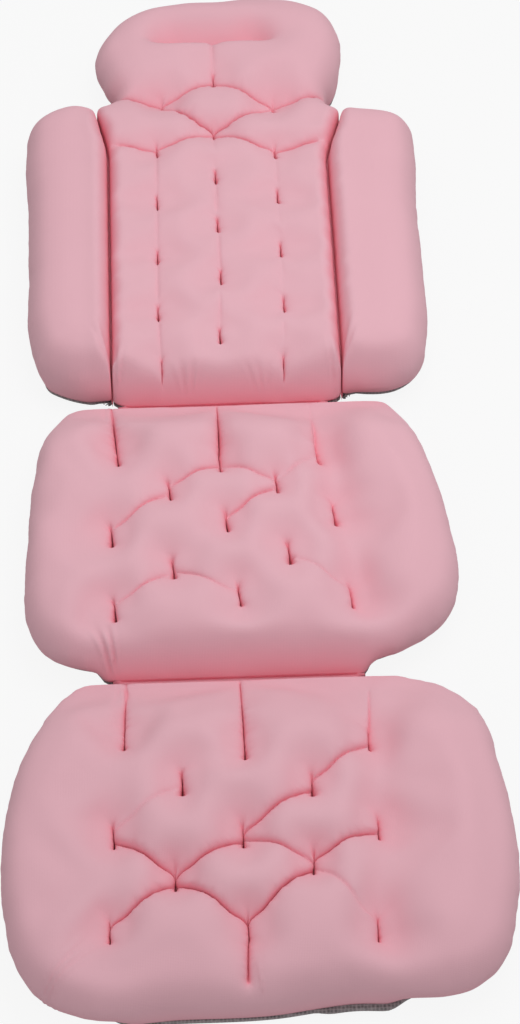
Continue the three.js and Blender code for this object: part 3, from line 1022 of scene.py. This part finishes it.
def mesh_material():
    """Dark grey spacer mesh: small round holes in rows, with a knitted relief."""
    made, tree, shader = material("grey_mesh", (0.10, 0.09, 0.095), roughness=0.8)
    layout = {"Scale": 330, "Randomness": 0.25}
    holes = pattern(tree, "TexVoronoi", layout, feature="F1")["Distance"]
    colour = mixed_colour(tree, holes, (0.05, 0.044, 0.046), (0.42, 0.36, 0.37))
    tree.links.new(colour, shader.inputs["Base Color"])
    add_relief(tree, shader, holes, strength=0.6, depth=0.8 * MM)
    return made


def thread_material(name, colour):
    """Twisted sewing thread, painted darker in the grooves of its twist as shade."""
    made, tree, shader = material(name, colour, roughness=0.6)
    twist = wave(tree, "DIAGONAL", thread_pitch)
    add_relief(tree, shader, twist, strength=0.4, depth=0.15 * MM)
    # Painted shade: the thread is darker where its twist relief is low
    groove_shade = tuple(thread_shade * part for part in colour)
    tree.links.new(mixed_colour(tree, twist, groove_shade, colour), shader.inputs["Base Color"])
    return made


def cup_material():
    """Soft clear plastic with a faint cloudiness."""
    made, tree, shader = material("clear_plastic", (0.86, 0.88, 0.89), roughness=0.22)
    cloud = pattern(tree, "TexNoise", {"Scale": 120})["Fac"]
    colour = mixed_colour(tree, cloud, (0.80, 0.83, 0.85), (0.92, 0.93, 0.94))
    tree.links.new(colour, shader.inputs["Base Color"])
    set_inputs(shader, {"Transmission Weight": 0.12, "IOR": 1.45})
    return made


def paper_material():
    """Pale floor: mostly white where it is seen, and matt grey where it lights the object."""
    made, tree, shader = material("paper", (0.46, 0.46, 0.46), roughness=0.95)
    rays = node(tree, "LightPath")
    seen = rays.outputs["Is Camera Ray"]
    for kind in ("Is Glossy Ray", "Is Transmission Ray"):
        seen = sum_of(tree, seen, rays.outputs[kind], "MAXIMUM")
    white = node(tree, "Emission")
    set_inputs(white, {"Strength": 1})
    mixed = node(tree, "MixShader")
    tree.links.new(sum_of(tree, seen, paper_white, "MULTIPLY"), mixed.inputs[0])
    tree.links.new(shader.outputs[0], mixed.inputs[1])
    tree.links.new(white.outputs[0], mixed.inputs[2])
    tree.links.new(mixed.outputs[0], tree.nodes["Material Output"].inputs["Surface"])
    return made


pink = knit_material()
grey = mesh_material()
# Tack thread: real bar tacks, coloured dark rose partly as painted shade inside the slits
tack_thread_and_slit_shade = thread_material("rose_thread_and_slit_shade", (0.32, 0.07, 0.10))
seam_thread = thread_material("grey_thread", (0.22, 0.20, 0.21))
clear = cup_material()


def finished_data(mesh, name, finish):
    """Smooth-shaded mesh data from an edited mesh."""
    bmesh.ops.recalc_face_normals(mesh, faces=mesh.faces)
    data = mesh_data(mesh, name)
    data.materials.append(finish)
    shade_smooth(data)
    return data


def finished(mesh, name, finish):
    """A smooth-shaded piece."""
    return linked(name, finished_data(mesh, name, finish))


def skinned(mesh, rings):
    """Closed rings of points joined by faces, in order."""
    made = [[mesh.verts.new(point) for point in ring] for ring in rings]
    for lower, upper in zip(made, made[1:]):
        for k in range(len(lower)):
            after = (k + 1) % len(lower)
            mesh.faces.new((lower[k], lower[after], upper[after], upper[k]))
    return made


def capped(mesh, rings):
    """Rings joined by faces, with a face at both ends."""
    made = skinned(mesh, rings)
    mesh.faces.new(made[0])
    mesh.faces.new(made[-1])


def offset_loop(loop, distances):
    """A closed loop moved outward by a distance at each point."""
    moved = []
    for k, point in enumerate(loop):
        along = (loop[(k + 1) % len(loop)] - loop[k - 1]).normalized()
        moved.append(point + Vector((along.y, -along.x)) * distances[k])
    return moved


def mesh_panel(name, loop, unders):
    """A flat panel of spacer mesh with a rounded rim, cut back below along the folds."""
    mesh = bmesh.new()
    middle = (panel_low + panel_high) / 2
    half = (panel_high - panel_low) / 2
    rings = []
    for step in range(panel_rings + 1):
        turn = math.pi * (step / panel_rings - 0.5)
        height = middle + half * math.sin(turn)
        inset = panel_edge * (1 - math.cos(turn))
        moves = [-inset - under * max(axis_z - height, 0) for under in unders]
        rings.append([(point.x, point.y, height) for point in offset_loop(loop, moves)])
    skinned(mesh, rings)
    close_holes(mesh)
    return finished(mesh, name, grey)


def bar(mesh, centre, along, length, width, height, ridges):
    """A rounded bar of thread, with ridges across it."""
    side = Vector((0, 0, 1)).cross(along).normalized()
    rise = along.cross(side)
    steps = max(ridges * 2, bar_least_steps)
    turns = circle(bar_sides)
    rings = []
    for step in range(steps + 1):
        share = step / steps
        taper = math.sqrt(max(1 - (2 * share - 1) ** 4, bar_tip))
        girth = taper * (1 + ridge_height * math.cos(math.tau * ridges * share))
        middle = centre + along * (length * (share - 0.5))
        wide, high = width / 2 * girth, height / 2 * girth
        rings.append([middle + side * (wide * c) + rise * (high * s) for c, s in turns])
    capped(mesh, rings)


def tacks(name, slits):
    """Dense thread bars that hold the tufts down, their dark rose partly painted shade of the slits."""
    mesh = bmesh.new()
    for a, b in slits:
        centre = a.lerp(b, tack_place)
        place = Vector((centre.x, centre.y, tuft_z + tack_lift))
        bar(mesh, place, Vector((0, 1, 0)), tack_length, tack_width, tack_height, tack_ridges)
    return finished(mesh, name, tack_thread_and_slit_shade)


def running_stitches(name, loop, unders):
    """Stitches along the underside of a panel, a little in from its edge."""
    mesh = bmesh.new()
    line = offset_loop(loop, [-stitch_inset - under * (axis_z - panel_low) for under in unders])
    line = even_points(line + line[:1], stitch_step)
    for a, b in zip(line, line[1:]):
        along = Vector((b.x - a.x, b.y - a.y, 0)).normalized()
        middle = (a + b) / 2
        place = Vector((middle.x, middle.y, panel_low))
        bar(mesh, place, along, stitch_length, thread_width, thread_width, 1)
    return finished(mesh, name, seam_thread)


def web(name, path, width, levels, dip):
    """A strip of cover cloth in a sewn line, sagging along its middle."""
    mesh = bmesh.new()
    rings = []
    for k, point in enumerate(path):
        along = (path[min(k + 1, len(path) - 1)] - path[max(k - 1, 0)]).normalized()
        side = Vector((along.y, -along.x))
        taper = min(1, (k + 0.5) / web_taper, (len(path) - 0.5 - k) / web_taper)
        ring = []
        for c, s in circle(web_sides):
            place = point + side * (width / 2 * taper * c)
            height = levels[k] - dip * (1 - abs(c))
            ring.append((place.x, place.y, height + web_thickness / 2 * s))
        rings.append(ring)
    capped(mesh, rings)
    strip = finished(mesh, name, pink)
    return strip


def fold_web(name, path):
    """A web across a fold, with its place baked in."""
    strip = web(name, path, web_width, [seam_z + web_lift] * len(path), web_dip)
    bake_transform(strip)


def side_web(name, stops, seam):
    """A web between a bolster and the back, high in the seam and low at its ends."""
    run = [y * MM for y in stops]
    low = seam_z + web_lift
    shares = [smooth_step(min(y - run[0], run[-1] - y) / side_web_rise) for y in run]
    levels = [low + (side_web_z - low) * share for share in shares]
    strip = web(name, [Vector((seam(y), y)) for y in run], side_web_width, levels, side_web_dip)
    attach(strip, "back")


def cup_mesh(radius, height):
    """A turned suction cup with a neck that runs up into the panel."""
    profile = [
        (0, 0.58), (0.30, 0.55), (0.62, 0.36), (0.86, 0.12), (0.94, 0.02), (0.98, 0), (1, 0.03),
        (0.985, 0.10), (0.90, 0.26), (0.70, 0.58), (0.46, 0.82), (0.30, 0.94), (0.26, 1.05), (0.26, 1.4),
        (0.34, 1.5), (0.34, 1.6), (0.2, 1.66), (0, 1.67),
    ]
    turns = circle(cup_sides)
    mesh = bmesh.new()
    made = skinned(mesh, [
        [(radius * share * c, radius * share * s, height * level) for c, s in turns]
        for share, level in profile[1:-1]
    ])
    for ring, (share, level) in ((made[0], profile[0]), (made[-1], profile[-1])):
        tip = mesh.verts.new((0, 0, height * level))
        for k in range(cup_sides):
            mesh.faces.new((ring[k], ring[(k + 1) % cup_sides], tip))
    return finished_data(mesh, "suction_cup", clear)


def part_loop(loop, unders, side):
    """The part of a loop on one side of the neck fold, closed along the fold."""
    kept = [(point, under) for point, under in zip(loop, unders) if side * (point.y - neck_y) > neck_clear]
    gaps = [(kept[(k + 1) % len(kept)][0] - kept[k][0]).length for k in range(len(kept))]
    end = gaps.index(max(gaps)) + 1
    kept = kept[end:] + kept[:end]
    edge = neck_y + side * neck_clear
    first, last = kept[-1][0], kept[0][0]
    closing = even_points([Vector((first.x, edge)), Vector((last.x, edge))], sheet_spacing)
    kept.extend((point, cross_under) for point in closing)
    return [point for point, under in kept], [under for point, under in kept]


def carry(piece, bodies):
    """Joins a piece to its body; a piece across the neck or on a bolster only has its place baked in."""
    if len(bodies) == 2:
        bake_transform(piece)
    elif bodies[0] in bolster_bends:
        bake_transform(piece)
    else:
        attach(piece, bodies[0])


def make_panels(bodies, seams, unders, bared):
    """The mesh panel of each body with its stitches."""
    loop = offset_loop(seams, [panel_out + shown for shown in bared])
    for body in bodies:
        part, slopes = loop, unders
        if len(bodies) == 2:
            part, slopes = part_loop(loop, unders, 1 if body == "head" else -1)
        panel = mesh_panel(f"{body}_panel", part, slopes)
        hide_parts(f"{body}_mesh")
        sewn = running_stitches(f"{body}_stitches", part, slopes)
        for made in (panel, sewn):
            carry(made, [body])


def make_tacks(bodies, slits):
    """The bar tacks of each body, parted at the neck where a cushion has two."""
    for body in bodies:
        own = slits
        if len(bodies) == 2:
            own = [slit for slit in slits if (slit[0].y > head_tacks_y) == (body == "head")]
        if own:
            held = tacks(f"{body}_tacks", own)
            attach(held, body)


def area_lamp(name, place, size, energy):
    """A soft lamp that points at the back cushion."""
    data = bpy.data.lights.new(name, "AREA")
    data.shape = "RECTANGLE"
    data.size, data.size_y = size
    data.energy = energy
    lamp = linked(name, data)
    lamp.location = place
    lamp.rotation_euler = (lamp_aim - lamp.location).to_track_quat("-Z", "Y").to_euler()


# Cushions with their panels and tacks
for pad in (leg, seat, head_back, left_bolster, right_bolster):
    piece, seams, unders, bared = cushion(pad)
    piece.data.materials.clear()
    piece.data.materials.append(pink)
    bodies = pad["bodies"]
    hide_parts(*[f"{body}_{layer}" for body in bodies for layer in ("cover", "fill")])
    carry(piece, bodies)
    make_panels(bodies, seams, unders, bared)
    make_tacks(bodies, pad["slits"])

# Webs, with their stops in millimetres
side_web("left_bolster_web", range(70, 420, 4), left_seam)
side_web("right_bolster_web", range(70, 410, 4), right_seam)
fold_web("hip_web", [Vector((x * MM, hip_y)) for x in range(-104, 96, 8)])
fold_web("knee_web", [Vector((x * MM, knee_y)) for x in range(-112, 106, 8)])

# Suction cups, all from one mesh
cup_data = None
for body, members in frame["record"]["behaviour"]["bodies"].items():
    for name in members:
        if "_suction_cup_" not in name:
            continue
        low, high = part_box(name)
        if cup_data is None:
            cup_data = cup_mesh((high[0] - low[0]) / 2, panel_low - low[2])
        cup = linked(name.replace("suction_cup", "clear_cup"), cup_data)
        cup.location = ((low[0] + high[0]) / 2, (low[1] + high[1]) / 2, low[2])
        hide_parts(name)
        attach(cup, body)

# Floor
floor_reach = 40
corners = [(x * floor_reach, y * floor_reach, 0) for x, y in ((-1, -1), (1, -1), (1, 1), (-1, 1))]
floor_mesh = bpy.data.meshes.new("floor")
floor_mesh.from_pydata(corners, [], [(0, 1, 2, 3)])
floor_mesh.materials.append(paper_material())
floor = linked("floor", floor_mesh)

# Light
world = bpy.data.worlds.new("room")
bpy.context.scene.world = world
world.use_nodes = True
set_inputs(world.node_tree.nodes["Background"], {"Color": (1, 1, 1, 1), "Strength": 0.58})
area_lamp("overhead", (0.32, 0.25, 1.3), size=(1.1, 0.8), energy=8.6)
area_lamp("front_fill", (0.1, -2.0, 1.3), size=(1.6, 1.6), energy=4)

# Camera
camera_elevation = math.radians(52)
camera_azimuth = math.radians(-2.27)
camera_distance = 2.825
look_at = Vector((21, -55, 8)) * MM
camera_data = bpy.data.cameras.new("camera")
camera_data.lens = 111.2
camera = linked("camera", camera_data)
level = math.cos(camera_elevation)
across = math.sin(camera_azimuth) * level
back_ray = Vector((across, -math.cos(camera_azimuth) * level, math.sin(camera_elevation)))
camera.location = look_at + back_ray * camera_distance
camera.rotation_euler = (-back_ray).to_track_quat("-Z", "Y").to_euler()
bpy.context.scene.camera = camera
bpy.context.scene.view_settings.view_transform = "Standard"
